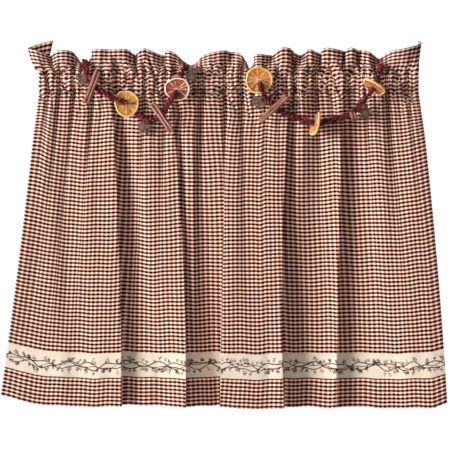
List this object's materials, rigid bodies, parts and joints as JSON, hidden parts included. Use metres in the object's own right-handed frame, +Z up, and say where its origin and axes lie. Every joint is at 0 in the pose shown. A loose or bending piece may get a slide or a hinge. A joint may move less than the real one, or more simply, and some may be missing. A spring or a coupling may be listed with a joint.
{
  "type": "tier curtain with garland",
  "caption": "Gathered tier curtain with a ruffled heading, open rod pocket, flaring folds, printed border strip and a berry garland looped over the heading.",
  "frame": {"origin": "middle of the rod pocket, half way along it", "axes": "+X along the rod to the right as seen from the front, +Y to the back, +Z up"},
  "size_m": [0.7402, 0.078, 0.6079],
  "materials": {
    "gingham": "matte",
    "border_cloth": "matte",
    "berries": "satin",
    "twine": "matte",
    "orange": "matte",
    "cinnamon": "matte",
    "tin": "matte"
  },
  "bodies": {
    "root": {"heading": "gingham", "panel": "gingham", "border_band": "border_cloth", "hem_band": "gingham", "berries_left_a": "berries", "berries_left_b": "berries", "berries_left_c": "berries", "berries_right_b": "berries", "berries_right_c": "berries", "berries_right_d": "berries", "twine_right": "twine", "orange_slice_1": "orange", "orange_slice_2": "orange", "orange_slice_3": "orange", "orange_slice_4": "orange", "orange_slice_5": "orange", "cinnamon_stick_1": "cinnamon", "cinnamon_stick_2": "cinnamon", "cinnamon_stick_3": "cinnamon", "cinnamon_stick_4": "cinnamon", "tin_star_1": "tin", "tin_star_2": "tin", "tin_star_3": "tin", "tin_star_4": "tin", "tin_star_5": "tin"}
  },
  "joints": []
}
